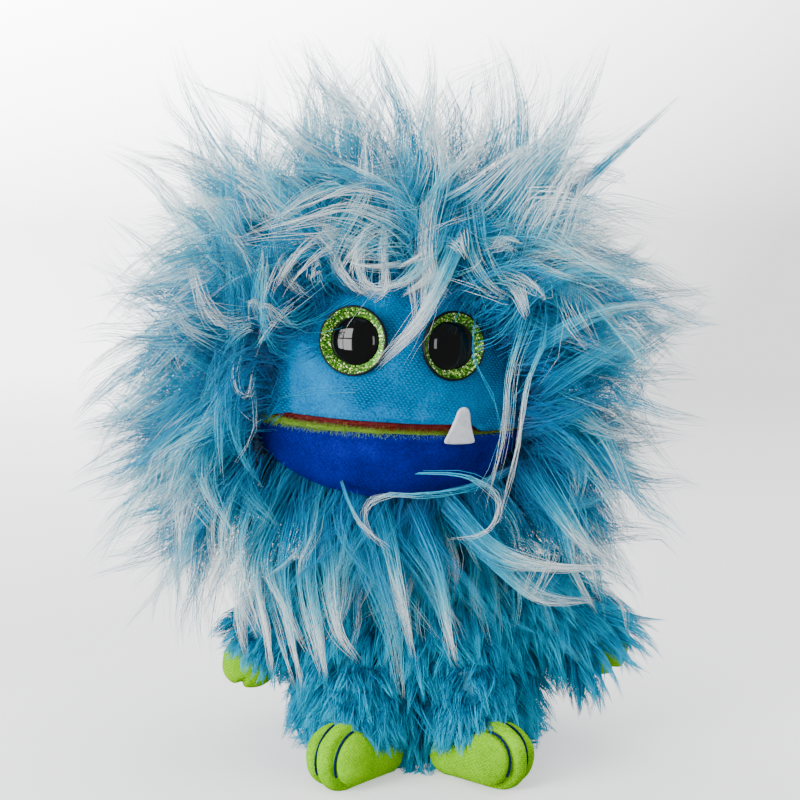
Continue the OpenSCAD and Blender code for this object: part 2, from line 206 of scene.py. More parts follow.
class Nodes:
    """A material's node tree, with short ways to add and join nodes."""

    def __init__(self, name):
        self.material = bpy.data.materials.new(name)
        self.material.use_nodes = True
        self.tree = self.material.node_tree
        self.shader = self.tree.nodes["Principled BSDF"]

    def join(self, value, socket):
        """Feeds a socket from another node's output, or sets its constant."""
        if isinstance(value, bpy.types.NodeSocket):
            self.tree.links.new(value, socket)
        else:
            socket.default_value = value

    def add(self, kind, **inputs):
        node = self.tree.nodes.new("ShaderNode" + kind)
        for key, value in inputs.items():
            self.join(value, node.inputs[key.replace("_", " ")])
        return node

    def vector(self, operation, *values):
        node = self.add("VectorMath")
        node.operation = operation
        for value, socket in zip(values, node.inputs):
            self.join(value, socket)
        return node

    def where(self):
        """Position in the piece's own space, in millimetres."""
        scaled = self.vector("SCALE", self.add("TexCoord").outputs["Object"])
        scaled.inputs["Scale"].default_value = 1 / MM
        return scaled.outputs[0]

    def noise(self, size, detail=3.0, vector=None, rough=0.55):
        node = self.add("TexNoise", Scale=1 / size, Detail=detail, Roughness=rough)
        self.join(vector or self.where(), node.inputs["Vector"])
        return node.outputs["Fac"]

    def ramp(self, value, stops):
        node = self.add("ValToRGB", Fac=value)
        elements = node.color_ramp.elements
        while len(elements) < len(stops):
            elements.new(0.5)
        for element, (place, colour) in zip(elements, stops):
            element.position = place
            element.color = rgba(colour)
        return node.outputs["Color"]

    def math(self, operation, a, b=0.0):
        node = self.add("Math")
        node.operation = operation
        self.join(a, node.inputs[0])
        self.join(b, node.inputs[1])
        return node.outputs[0]

    def plus(self, a, b):
        return self.math("ADD", a, b)

    def times(self, a, b):
        return self.math("MULTIPLY", a, b)

    def mix(self, amount, a, b, blend="MIX"):
        node = self.add("Mix")
        node.data_type, node.blend_type = "RGBA", blend
        for number, value in ((0, amount), (6, rgba(a)), (7, rgba(b))):
            self.join(value, node.inputs[number])
        return node.outputs[2]

    def bump(self, height, depth, strength=1.0):
        node = self.add("Bump", Strength=strength, Distance=depth * MM, Height=height)
        self.join(node.outputs[0], self.shader.inputs["Normal"])

    def finish(self, colour, rough, **others):
        for key, value in {"Base_Color": colour, "Roughness": rough, **others}.items():
            self.join(value, self.shader.inputs[key.replace("_", " ")])
        return self.material


STITCH_W, STITCH_H, WEAVE = 1.35, 0.86, 0.6
FLAKE = 0.36
# The flakes' own greens; the last two, near-white stops are painted glints that stand in for sparkling flakes
FLAKE_AND_GLINT_STOPS = [(0.0, (0.002, 0.018, 0.0)), (0.45, (0.010, 0.07, 0.001)), (0.72, (0.04, 0.19, 0.003)),
               (0.86, (0.16, 0.42, 0.01)), (0.94, (0.65, 0.90, 0.20)), (1.0, (1.0, 1.0, 0.8))]


def velboa(name, dark, base, light, knit=1.0, show=1.0):
    """Short brushed plush: rows of slanting knit stitches show through where the pile is thin."""
    n = Nodes(name)
    place = n.where()
    patches = n.noise(14.0, 2.0, place)
    fibres = n.noise(0.8, 5.0, place, 0.78)
    drift = n.add("TexNoise", Scale=1 / 9.0, Detail=1.0, Vector=place)
    bent = n.vector("ADD", drift.outputs["Color"], place).outputs[0]
    waves = []
    for across in ((0.25 / STITCH_W, 0.10, 1 / STITCH_H), (1 / STITCH_W, 0.15, 0.42 / STITCH_H)):
        along = n.vector("DOT_PRODUCT", bent, [2 * math.pi / knit * c for c in across])
        wave = n.math("SINE", along.outputs["Value"])
        waves.append(n.ramp(n.plus(n.times(wave, 0.5), 0.5), [(0.25, 0.0), (0.75, 1.0)]))
    thin = n.ramp(n.noise(24.0, 1.0, place), [(0.40, 0.10), (0.56, show)])
    grain = n.times(n.times(*waves), thin)
    tone = n.plus(n.times(patches, 0.30), n.times(fibres, 0.70))
    colour = n.ramp(tone, [(0.36, dark), (0.50, base), (0.68, light)])
    shade = n.ramp(n.math("SUBTRACT", thin, grain), [(0.0, 1.0), (1.0, 0.62)])
    colour = n.mix(n.times(grain, 0.9), n.mix(1.0, colour, shade, "MULTIPLY"), light)
    n.bump(n.plus(n.times(fibres, 1.5), n.times(grain, 1.5)), 0.5)
    return n.finish(colour, 0.95, Sheen_Weight=0.12, Sheen_Roughness=0.5, Sheen_Tint=rgba(base),
                    Specular_IOR_Level=0.02)


def fibre(name, stops, tone_share=0.45, rough=0.6, sheen=0.15, gloss=0.12):
    """Hair coloured from root to tip. The UV map holds a fibre's own tone and the way along it."""
    n = Nodes(name)
    uv = n.add("UVMap")
    uv.uv_map = "OFBake"
    tone, along, _ = n.add("SeparateXYZ", Vector=uv.outputs[0]).outputs
    shifted = n.plus(along, n.times(n.math("SUBTRACT", tone, 0.5), tone_share))
    shade = n.ramp(tone, [(0.0, 0.80), (1.0, 1.0)])
    colour = n.mix(1.0, n.ramp(shifted, stops), shade, "MULTIPLY")
    return n.finish(colour, rough, Sheen_Weight=sheen, Sheen_Roughness=0.5,
                    Sheen_Tint=rgba(stops[-1][1]), Specular_IOR_Level=gloss)


def cloth(name, dark, light):
    """Plain woven lining."""
    n = Nodes(name)
    place = n.where()
    bands = []
    for direction in "XZ":
        wave = n.add("TexWave", Scale=1 / WEAVE / 3.1, Distortion=0.6, Vector=place)
        wave.bands_direction = direction
        bands.append(wave.outputs["Fac"])
    threads = n.times(*bands)
    colour = n.ramp(n.plus(n.times(threads, 0.6), n.times(n.noise(6.0), 0.4)), [(0.1, dark), (0.8, light)])
    n.bump(threads, 0.15, 0.8)
    return n.finish(colour, 0.8, Sheen_Weight=0.2)


def fluff(name, dark, light, size, depth):
    """Felt, stuffing and card: matted fibres with no direction."""
    n = Nodes(name)
    place = n.where()
    clumps = n.noise(size * 4, 3.0, place)
    threads = n.noise(size * 0.3, 5.0, place, 0.75)
    mixed = n.plus(n.times(clumps, 0.5), n.times(threads, 0.5))
    n.bump(mixed, depth, 0.9)
    return n.finish(n.ramp(mixed, [(0.3, dark), (0.7, light)]), 0.92, Sheen_Weight=0.3, Sheen_Roughness=0.5)


def plastic(name, dark, light, rough, coat):
    """Moulded plastic with faint smears. dark and light are greys, or three numbers each."""
    n = Nodes(name)
    colour = n.ramp(n.noise(0.8, 4.0), [(0.35, dark), (0.8, light)])
    smears = n.ramp(n.noise(5.0), [(0.3, rough), (0.8, rough * 2.2)])
    return n.finish(colour, smears, Coat_Weight=coat, Coat_Roughness=0.03, Specular_IOR_Level=0.25)


def glitter(name):
    """Flakes of many greens, each tipped its own way, on clear plastic; the palest flakes are painted glints.
    """
    n = Nodes(name)
    flakes = n.add("TexVoronoi", Scale=1 / FLAKE, Vector=n.where())
    pick, tip, metal = n.add("SeparateColor", Color=flakes.outputs["Color"]).outputs
    n.bump(tip, 0.30)
    return n.finish(n.ramp(pick, FLAKE_AND_GLINT_STOPS), 0.3, Specular_IOR_Level=0.3,
                    Metallic=n.times(n.math("GREATER_THAN", metal, 0.55), 0.85))


def thread(name, dark, light):
    """Twisted sewing thread."""
    n = Nodes(name)
    twist = n.add("TexWave", Scale=1 / 0.9, Distortion=0.5, Vector=n.where())
    twist.bands_direction = "DIAGONAL"
    n.bump(twist.outputs["Fac"], 0.15, 0.8)
    return n.finish(n.ramp(twist.outputs["Fac"], [(0.1, dark), (0.9, light)]), 0.6, Specular_IOR_Level=0.1)


MATERIALS = {
    "face": velboa("face_velboa", (0.0, 0.065, 0.19), (0.0, 0.145, 0.36), (0.0, 0.25, 0.54)),
    "jaw": velboa("jaw_velboa", (0.001, 0.002, 0.08), (0.002, 0.006, 0.18), (0.005, 0.018, 0.36), 0.9,
                  0.4),
    "lime": velboa("lime_velboa", (0.10, 0.33, 0.0), (0.21, 0.58, 0.0), (0.38, 0.84, 0.001), 0.8, 0.5),
    "hair": fibre("long_hair", [(0.0, (0.0, 0.12, 0.32)), (0.32, (0.0, 0.22, 0.46)),
        (0.60, (0.0, 0.33, 0.54)), (0.76, (0.05, 0.46, 0.62)),
        (0.90, (0.36, 0.68, 0.77)), (1.0, (0.80, 0.87, 0.88))], 0.8, sheen=0.08),
    "under": fibre("under_hair", [(0.0, (0.0, 0.15, 0.42)), (0.5, (0.0, 0.25, 0.60)),
        (1.0, (0.0, 0.33, 0.66))]),
    "teal": fibre("teal_pile", [(0.0, (0.0, 0.11, 0.24)), (0.45, (0.0, 0.28, 0.50)),
        (1.0, (0.0, 0.50, 0.74))], 0.5, 0.6, 0.0, 0.05),
    "teal_base": fluff("teal_backing", (0.0, 0.09, 0.17), (0.0, 0.20, 0.32), 1.2, 0.8),
    "hood": fluff("hair_backing", (0.0, 0.10, 0.28), (0.0, 0.22, 0.50), 1.5, 0.8),
    "red": fluff("red_plush", (0.04, 0.0, 0.0), (0.20, 0.002, 0.003), 0.9, 0.5),
    "green": fluff("green_plush", (0.06, 0.14, 0.004), (0.18, 0.34, 0.012), 0.9, 0.5),
    "red_pile": fibre("red_pile", [(0.0, (0.04, 0.0, 0.0)), (1.0, (0.24, 0.002, 0.003))], sheen=0.0),
    "green_pile": fibre("green_pile", [(0.0, (0.06, 0.15, 0.004)), (1.0, (0.24, 0.46, 0.03))]),
    "felt": fluff("white_felt", (0.30, 0.32, 0.38), (0.72, 0.74, 0.78), 0.7, 0.9),
    "cup": plastic("eye_cup", 0.0005, 0.003, 0.3, 0.0),
    "pupil": plastic("eye_pupil", 0.0004, 0.0015, 0.03, 0.0),
    "glitter": glitter("eye_glitter"),
    "washer": plastic("eye_washer", (0.62, 0.62, 0.58), (0.80, 0.80, 0.76), 0.35, 0.1),
    "navy": thread("toe_thread", (0.001, 0.006, 0.030), (0.004, 0.022, 0.080)),
    "lining": cloth("sleeve_lining", (0.18, 0.24, 0.28), (0.42, 0.48, 0.52)),
    "board": fluff("mouth_board", (0.30, 0.21, 0.12), (0.48, 0.37, 0.24), 1.0, 0.15),
    "stuffing": fluff("stuffing", (0.70, 0.70, 0.67), (0.92, 0.92, 0.90), 3.0, 1.5),
}

# CAD nodes that are the right shape keep it and get their finish here
CAD_FINISH = {
    "hood": ("hood_left", "hood_right", "hood_back", "hood_crown"),
    "washer": ("eye_washer_left", "eye_washer_right"),
    "board": ("upper_board", "jaw_board"),
    "lining": ("finger_pocket", "thumb_pocket", "sleeve_lining"),
    "stuffing": ("head_stuffing", "jaw_stuffing", "belly_stuffing", "arm_stuffing_left",
                 "arm_stuffing_right", "leg_stuffing_left", "leg_stuffing_right"),
    "red": ("mouth_fold",),
}
for finish, nodes in CAD_FINISH.items():
    for node in nodes:
        data = frame["nodes"][node].data
        data.materials.clear()
        data.materials.append(MATERIALS[finish])

# ---------------- hair

SKULL_GAP, BELLY_GAP = 1.2, 3.0


def pushed(away, wall, within):
    """How many times further from the axis each point must be, to lie outside the wall."""
    reach = np.linalg.norm(away, axis=-1)
    return np.where((reach < wall) & within, wall / np.maximum(reach, 1e-3), 1.0)[..., None]


def keep_clear(p, lowest):
    """Pushes points in the head's frame out of the head, and out of the body below it."""
    p, z = p.copy(), p[..., 2]
    p[..., :2] *= pushed(p[..., :2], head_radius(z) + SKULL_GAP, (z > lowest) & (z < MOUTH_Z + CROWN_H))
    row = from_head(p)
    away, z = row[..., :2] - TORSO_XY, row[..., 2]
    shift = np.zeros_like(p)
    wall = torso_radius(np.clip(z, 0, TORSO_H)) + BELLY_GAP
    shift[..., :2] = away * (pushed(away, wall, z < TORSO_H + 2) - 1)
    return p + shift @ HEAD_AXES


def inside_limits(row):
    """Folds hair tips back inside the CAD model's box, grown by a margin."""
    low, high = np.array(cad_box) / MM
    proud, soft = 0.03 * (high - low) + 8.5, 14.0
    high, low = high + proud - soft, low - proud + soft
    row = np.where(row > high, high + soft * np.tanh((row - high) / soft), row)
    folded = np.where(row < low, low - soft * np.tanh((low - row) / soft), row)
    return np.concatenate([folded[..., :2], np.maximum(row[..., 2:], 0.4)], -1)


def grow(roots, heading, length, steps=8, droop=0.0, wave=0.25):
    """Guide curves of locks: each starts at its root along its heading, then droops and waves."""
    count = len(roots)
    step = (np.broadcast_to(length, (count,)) / (steps - 1))[:, None]
    pull = np.broadcast_to(droop, (count,))[:, None] * np.array([0, 0, -1.0])
    p, d = roots.copy(), unit(heading)
    side = unit(np.cross(d, rng.normal(size=(count, 3))))
    phase = rng.uniform(0, TURN, (count, 1))
    pitch = rng.uniform(0.10, 0.19, (count, 1))
    bend = rng.normal(size=(count, 3)) * 0.012
    path = [p.copy()]
    for i in range(1, steps):
        drift = np.stack([ripple(p, 62, 1.0), ripple(p, 57, 3.0), ripple(p, 66, 5.0)], -1)
        sway = side * np.cos(i * step * pitch + phase) * wave
        d = unit(d + pull * step + bend * step + drift * 0.011 * step + sway * step * 0.12)
        p = p + d * step
        path.append(p.copy())
    return np.stack(path, axis=1)


def spread(guides, each, root_width, tip_width, frizz=0.6, flatness=0.45, short=0.72, wisps=4):
    """Fibres of each lock: a flat band that parts into wisps and gathers to points."""
    count, steps, _ = guides.shape
    along = np.linspace(0, 1, steps)
    share = rng.uniform(short, 1.04, (count, each, 1)) * along
    place = np.clip(share * (steps - 1), 0, steps - 1.001)
    low = place.astype(int)
    part = (place - low)[..., None]
    lock = np.arange(count)[:, None, None]
    base = guides[lock, low] * (1 - part) + guides[lock, low + 1] * part
    heading = unit(guides[:, -1] - guides[:, 0])
    wide = unit(np.cross(heading, rng.normal(size=(count, 3))))
    deep = np.cross(heading, wide)
    wisp = rng.integers(0, wisps, (count, each))
    middle_of = rng.normal(size=(count, wisps, 2)) * np.array([0.9, 0.9 * flatness])
    middle_of = np.take_along_axis(middle_of, wisp[..., None].repeat(2, -1), 1)
    loose = rng.normal(size=(count, each, 2)) * np.array([0.7, 0.7 * flatness])
    width = np.broadcast_to(root_width, (count,))[:, None] * 0.5
    keep_wisp = (1 - 0.62 * along ** 1.6) * (0.55 + 0.45 * np.minimum(along * 4, 1))
    keep_loose = 1 - along ** 1.3
    loose = loose[:, :, None]
    spreading = (middle_of[:, :, None] * keep_wisp[:, None]
                 + loose * keep_loose[:, None]) * width[:, None, :, None]
    spreading = spreading + loose * (tip_width * 0.5 * along)[:, None]
    offset = (spreading[..., :1] * wide[:, None, None] + spreading[..., 1:] * deep[:, None, None])
    phase = rng.uniform(0, TURN, (count, each, 1, 1))
    beat = rng.uniform(0.8, 2.2, (count, each, 1, 1))
    curl = unit(rng.normal(size=(count, each, 1, 3)))
    frizzle = curl * np.sin(beat * along[:, None] * 2 * math.pi + phase)
    return (base + offset + frizzle * (frizz * along)[:, None]).reshape(-1, steps, 3)


def fibre_mesh(name, paths, radius, tone):
    """Closed three-sided tapering fibres as one mesh. paths are millimetres in the row frame."""
    count, rings, _ = paths.shape
    sides, flat = 3, 0.55
    along = np.linspace(0, 1, rings)
    tangent = unit(np.gradient(paths, axis=1))
    side = unit(np.cross(tangent, unit(rng.normal(size=(count, 1, 3)))))
    up = np.cross(side, tangent)
    taper = 0.10 + 0.90 * (1 - along) ** 0.55
    width = np.broadcast_to(radius, (count,))[:, None] * taper
    turn = np.arange(sides) * 2 * math.pi / sides
    ring = (side[:, :, None] * np.cos(turn)[:, None] + up[:, :, None] * np.sin(turn)[:, None] * flat)
    points = paths[:, :, None] + ring * width[..., None, None]
    start = (np.arange(count) * rings * sides)[:, None, None]
    ring_start = start + np.arange(rings - 1)[:, None] * sides
    a, b = ring_start + np.arange(sides), ring_start + (np.arange(sides) + 1) % sides
    quads = np.stack([a, b, b + sides, a + sides], -1).reshape(-1, 4)
    first = start[:, 0, 0][:, None]
    last = first + (rings - 1) * sides
    caps = np.concatenate([first + np.array([2, 1, 0]), last + np.array([0, 1, 2])]).reshape(-1, 3)
    loops = np.concatenate([quads.ravel(), caps.ravel()])
    starts = np.concatenate([np.arange(len(quads)) * 4, len(quads) * 4 + np.arange(len(caps)) * 3])
    mesh = bpy.data.meshes.new(name)
    mesh.vertices.add(points.size // 3)
    mesh.vertices.foreach_set("co", (points * MM).astype(np.float32).ravel())
    mesh.loops.add(len(loops))
    mesh.loops.foreach_set("vertex_index", loops.astype(np.int32))
    mesh.polygons.add(len(starts))
    mesh.polygons.foreach_set("loop_start", starts.astype(np.int32))
    mesh.update(calc_edges=True)
    uv = mesh.uv_layers.new(name="OFBake")
    fibre_of = loops // (rings * sides)
    ring_of = loops % (rings * sides) // sides
    tones = np.clip(np.broadcast_to(tone, (count,)), 0.01, 0.99)
    uv.data.foreach_set("uv", np.stack([tones[fibre_of], 0.01 + 0.98 * along[ring_of]], -1)
                        .astype(np.float32).ravel())
    return mesh


def hair(name, guides, each, replaces=(), body="head", material="hair", widths=(9, 0.8), radius=0.2,
         frizz=0.6, tone=0.5, tone_spread=0.22, short=0.72):
    """One piece of hair: locks of fibres grown along guide curves, widths wide at root and tip."""
    lowest = MOUTH_Z if body == "jaw" else HEAD_BOTTOM_Z - 4
    paths = spread(guides, each, *widths, frizz, short=short)
    paths = inside_limits(from_head(keep_clear(paths, lowest)))
    lock_tone = np.repeat(rng.normal(tone, tone_spread, len(guides)), each)
    tones = lock_tone + rng.normal(0, 0.07, len(lock_tone))
    radii = radius * rng.uniform(0.75, 1.25, len(paths))
    mesh = fibre_mesh(name, paths, radii, tones)
    return new_object(name, mesh, MATERIALS[material], body, replaces)


def skull_points(count, low_z, high_z, low_turn, high_turn):
    """Roots spread evenly over part of the head, with the skin's normal at each."""
    steps = 400
    z = np.linspace(low_z, min(high_z, MOUTH_Z + CROWN_H - 0.05), steps)
    r = head_radius(z)
    weight = r * np.hypot(1, np.gradient(r, z)) + 1e-6
    share = np.cumsum(weight) / weight.sum()
    height = np.interp(rng.uniform(0, 1, count), share, z)
    turn = np.radians(rng.uniform(low_turn, high_turn, count))
    reach = head_radius(height)
    slope = (head_radius(height + 0.05) - head_radius(height - 0.05)) / 0.1
    front = np.stack([np.sin(turn), -np.cos(turn)], -1)
    points = np.concatenate([front * reach[:, None], height[:, None]], 1)
    normal = unit(np.concatenate([front, -slope[:, None]], 1))
    return points, normal, np.degrees(turn)


def off_face(turn, z):
    """True where hair grows: outside the face's opening and off the jaw."""
    arch = (turn / 60.0) ** 2 + ((z - MOUTH_Z) / 47.0) ** 2 > 1
    return np.where(z > MOUTH_Z, arch, np.abs(turn) > 74)


def locks(count, z, turn, mix, length, droop, wild, wave=0.25, steps=8):
    """Guide curves over part of the head. mix weighs the skin's normal, up and sideways."""
    roots, normal, angle = skull_points(count, *z, *turn)
    wanted = off_face(angle, roots[:, 2])
    roots, normal, angle = roots[wanted], normal[wanted], angle[wanted]
    side = np.zeros_like(roots)
    side[:, 0] = np.clip(angle / 25, -1, 1)
    heading = (normal * mix[0] + np.array([0, 0, 1.0]) * mix[1] + side * mix[2]
               + rng.normal(size=roots.shape) * wild)
    size = rng.uniform(*length, len(roots))
    return grow(roots, heading, size, steps, rng.uniform(*droop, len(roots)), wave)


def placed_locks(rows):
    """Guide curves one by one: turn, height, heading in x, y, z, length and droop."""
    table = np.array(rows, float)
    turn, z = np.radians(table[:, 0]), table[:, 1]
    reach = head_radius(z) + 0.5
    roots = np.stack([np.sin(turn) * reach, -np.cos(turn) * reach, z], -1)
    return grow(roots, table[:, 2:5], table[:, 5], 9, table[:, 6], 0.3)


def resampled(count, steps):
    """For places spread evenly along count points: the point before each, and the share past it."""
    place = np.linspace(0, count - 1, steps)
    low = np.minimum(place.astype(int), count - 2)
    return low, (place - low)[:, None]


def joined(*groups):
    """Groups of guide curves as one, all with as many points as the finest."""
    steps = max(g.shape[1] for g in groups)
    same = []
    for g in groups:
        low, part = resampled(g.shape[1], steps)
        same.append(g[:, low] * (1 - part) + g[:, low + 1] * part)
    return np.concatenate(same)


def drawn_locks(rows, steps=12):
    """Guide curves through a few points each. A row holds x, y, z by turns, in the row frame."""
    guides = []
    for row in rows:
        through = np.reshape(row, (-1, 3)).astype(float)
        low, part = resampled(len(through), steps)
        padded = np.concatenate([2 * through[:1] - through[1:2], through,
                                 2 * through[-1:] - through[-2:-1]])
        a, b, c, d = (padded[low + k] for k in range(4))
        guides.append(0.5 * (2 * b + (c - a) * part + (2 * a - 5 * b + 4 * c - d) * part ** 2
                             + (3 * b - a - 3 * c + d) * part ** 3))
    return (np.stack(guides) - HEAD_ORIGIN) @ HEAD_AXES


ALL_ROUND = (-180, 180)
LONG = dict(widths=(15, 0.8), radius=0.16, frizz=1.1, short=0.62)
THIN = dict(tone_spread=0.1, short=0.7)
hair("mane_crown_hair",
     joined(locks(140, (174, 197), ALL_ROUND, (0.70, 0.72, 0.32), (66, 100), (0.004, 0.014), 0.16, 0.5),
            locks(100, (158, 188), (-110, 110), (0.9, 0.55, 0.45), (50, 84), (0.008, 0.020), 0.16, 0.6)),
     40, ("mane_brow",), tone=0.62, **LONG)
for word, sign in (("left", -1), ("right", 1)):
    near, far = sorted((sign * 60, sign * 125)), sorted((sign * 70, sign * 112))
    hair("mane_%s_hair" % word,
         joined(locks(95, (128, 180), near, (0.7, 0.5, 0.6), (56, 90), (0.010, 0.020), 0.15, 0.6),
                locks(55, (106, 130), near, (0.8, -0.05, 0.5), (52, 82), (0.004, 0.014), 0.15, 0.6),
                locks(60, (98, 132), far, (0.55, -0.5, 0.45), (48, 80), (0.006, 0.018), 0.15, 0.6)),
         40, ("mane_" + word,), tone=0.36, **LONG)
    behind = sorted((sign * 122, sign * 180))
    hair("mane_back_hair_" + word,
         locks(130, (98, 180), behind, (0.9, 0.15, 0.15), (48, 78), (0.012, 0.024), 0.16, 0.5),
         34, ("mane_back_" + word,), **LONG)
hair("under_hair", locks(1300, (96, 196), ALL_ROUND, (0.8, 0.2, 0.3), (18, 38), (0.0, 0.03), 0.35, steps=6),
     6, material="under", widths=(8, 2.5))
hair("flyaway_hair", locks(380, (110, 197), ALL_ROUND, (0.8, 0.35, 0.4), (55, 98), (0.0, 0.016), 0.5, 0.6),
     3, widths=(4, 7), radius=0.10, tone=0.7)
hair("forelock_hair", placed_locks([
    (8, 190, 0.10, -0.9, 0.45, 44, 0.036), (14, 191, 0.0, -0.9, 0.4, 47, 0.036),
    (20, 190, -0.10, -0.9, 0.4, 48, 0.036), (27, 188, -0.15, -0.8, 0.4, 46, 0.034),
    (2, 191, 0.05, -0.9, 0.5, 44, 0.036), (-8, 189, -0.2, -0.9, 0.5, 40, 0.032),
    (34, 183, 0.2, -0.9, 0.45, 40, 0.032), (42, 176, 0.5, -0.9, 0.3, 38, 0.026),
    (15, 182, -0.55, -0.8, 0.05, 42, 0.024),
    (-24, 183, -0.5, -0.8, 0.6, 42, 0.026), (-36, 178, -0.6, -0.8, 0.4, 40, 0.024)]),
    40, ("forelock",), widths=(7, 1.0), tone=0.85, radius=0.14)

hair("face_framing_hair", drawn_locks([
    [44, -34, 158, 48, -52, 172, 63, -58, 182, 86, -52, 180, 103, -46, 174],
    [47, -32, 150, 56, -50, 160, 72, -54, 168, 92, -48, 170, 110, -40, 164],
    [52, -30, 136, 66, -44, 148, 84, -46, 158, 100, -42, 162, 116, -38, 163],
    [-44, -32, 146, -49, -52, 170, -52, -54, 192, -64, -46, 206, -82, -38, 211],
    [-46, -30, 158, -58, -48, 176, -66, -50, 196, -82, -42, 214, -98, -34, 222],
    [-50, -28, 140, -66, -42, 150, -84, -42, 158, -98, -36, 152, -110, -32, 142],
    [-50, -28, 128, -64, -40, 128, -78, -42, 120, -92, -38, 108, -104, -32, 104],
    [30, -22, 200, 42, -30, 226, 42, -30, 246, 36, -26, 265],
    [42, -20, 196, 56, -28, 220, 70, -26, 244, 78, -22, 264],
    [46, -18, 190, 68, -24, 210, 88, -24, 228, 104, -22, 242],
    [-20, -24, 202, -28, -34, 222, -28, -34, 240, -22, -30, 260],
    [-40, -22, 196, -58, -30, 218, -70, -28, 240, -76, -24, 260],
    [4, -20, 204, 8, -30, 228, 2, -28, 248, -6, -24, 265],
    [-47, -22, 118, -58, -40, 102, -60, -46, 82, -54, -48, 60],
    [-50, -16, 112, -64, -34, 94, -68, -38, 74, -62, -40, 54],
    [-46, -22, 108, -53, -42, 92, -52, -50, 74, -44, -52, 54],
    [-54, -8, 110, -70, -24, 94, -76, -28, 76, -74, -30, 60],
    [49, -20, 112, 60, -42, 96, 70, -44, 84, 84, -40, 76],
    [50, -16, 108, 62, -34, 90, 66, -40, 74, 74, -38, 60],
    [54, -8, 108, 70, -24, 92, 78, -28, 80, 90, -26, 70]]),
    56, radius=0.15, tone=0.75, tone_spread=0.12, short=0.6, frizz=1.2)
hair("bangs", drawn_locks([
    [6, -14, 197, 8, -34, 213, 4, -54, 205, -1, -63, 190, 0, -67, 178, -5, -66, 172],
    [16, -14, 197, 16, -36, 211, 13, -56, 202, 12, -65, 187, 15, -67, 177, 20, -63, 173],
    [-8, -14, 197, -10, -34, 210, -16, -52, 200, -18, -60, 187, -12, -65, 177, -4, -66, 173],
    [24, -12, 196, 27, -34, 210, 28, -54, 199, 30, -61, 186, 36, -61, 177, 43, -56, 173],
    [2, -16, 196, 2, -38, 208, -5, -56, 199, -9, -63, 188, -8, -66, 179, 0, -66, 174],
    [-20, -16, 195, -24, -34, 208, -32, -48, 199, -36, -53, 187, -33, -57, 178, -27, -59, 174],
    [20, -14, 197, 22, -38, 209, 18, -58, 198, 14, -66, 186, 6, -68, 178, -2, -67, 176]]),
    56, widths=(8, 0.8), radius=0.13, tone=0.80, tone_spread=0.12, short=0.65, frizz=1.3)
hair("loose_strands", drawn_locks([
    [52, -36, 178, 47, -56, 164, 42, -60, 148, 40, -56, 124, 34, -53, 100],
    [56, -34, 176, 54, -54, 158, 47, -59, 142, 45, -55, 120, 38, -52, 94],
    [-44, -34, 172, -50, -50, 160, -53, -50, 144, -48, -52, 138, -46, -50, 148],
    [-46, -34, 166, -44, -52, 156, -40, -56, 162, -34, -58, 168, -30, -56, 172],
    [24, -40, 194, 14, -60, 184, 6, -64, 178, -4, -66, 176, -10, -62, 180]]),
    15, widths=(3.2, 0.6), radius=0.13, tone=0.9, frizz=1.4, **THIN)
hair("forehead_strand", drawn_locks([
    [28, -36, 197, 24, -55, 187, 17, -64, 173, 9, -67, 161, -3, -67, 149]]),
    90, widths=(9, 1.5), radius=0.12, tone=0.85, frizz=1.2, **THIN)

# ---------------- face and jaw

def curved_panel(turns, top, rows, reach_of, thick):
    """Points and faces of a curved panel with two skins, from the lip up to its top."""
    turn, share = np.meshgrid(np.radians(turns), np.linspace(0, 1, rows))
    z = lip_height(turn) * (1 - share) + top * share
    outer = reach_of(turn, z)
    skins = [np.stack([np.sin(turn) * reach, -np.cos(turn) * reach, z], -1).reshape(-1, 3)
             for reach in (outer, outer - thick)]
    faces = grid_faces(*turn.shape)
    n = turn.size
    faces += [tuple(n + i for i in reversed(f)) for f in faces]
    grid = np.arange(n).reshape(turn.shape)
    rim = [int(i) for i in (*grid[0], *grid[1:, -1], *grid[-1, -2::-1], *grid[-2:0:-1, 0])]
    faces += [(a, n + a, n + b, b) for a, b in zip(rim, rim[1:] + rim[:1])]
    return np.concatenate(skins), faces


def lip_height(turn):
    """The face's lower edge, which closes over the linings beyond the fang and at the left corner."""
    return 130.3 - 2.5 * smooth(turn, 0.50, 0.62) - 2.5 * (1 - smooth(turn, -1.08, -0.78))


def face_reach(turn, z):
    """How far out the face is, with its lip, a dip round each eye and soft waves."""
    reach = head_radius(z) + 0.25 + 0.9 * smooth(130.6 - z, 0, 1.5)
    for side in (-1, 1):
        away = np.hypot((turn - side * EYE_SPREAD) * HEAD_R, z - EYE_Z)
        reach = reach - 1.1 * np.exp(-(away / 11.5) ** 4)
    lip = np.exp(-((z - lip_height(turn) - 1.7) / 1.7) ** 2)
    spot = np.stack([turn * HEAD_R, z, 0 * z], -1)
    return reach + 0.9 * lip + 0.35 * ripple(spot, 23) + 0.05 * ripple(spot, 1.3, 2.0)


points, faces = curved_panel(np.linspace(-66, 66, 300), 180, 150, face_reach, 1.9)
face = sewn("face_velboa", from_head(points), faces, "face", "head", ("face_panel",))


t = np.linspace(math.asin(1.4 / JAW_DEPTH), math.pi / 2, 110)
bowl = np.stack([(JAW_R + 0.3) * np.cos(t) ** 0.86, MOUTH_Z - (JAW_DEPTH + 4.0) * np.sin(t)], -1)
bowl[:, 0] += 0.9 * np.exp(-((bowl[:, 1] - 124.6) / 1.6) ** 2)
rim = [(0.0, 125.3), (JAW_R - 6, 125.3), (JAW_R - 1.6, 125.6), (JAW_R - 0.4, 126.3)]
points, faces = turned(rim + [tuple(b) for b in bowl], 240)
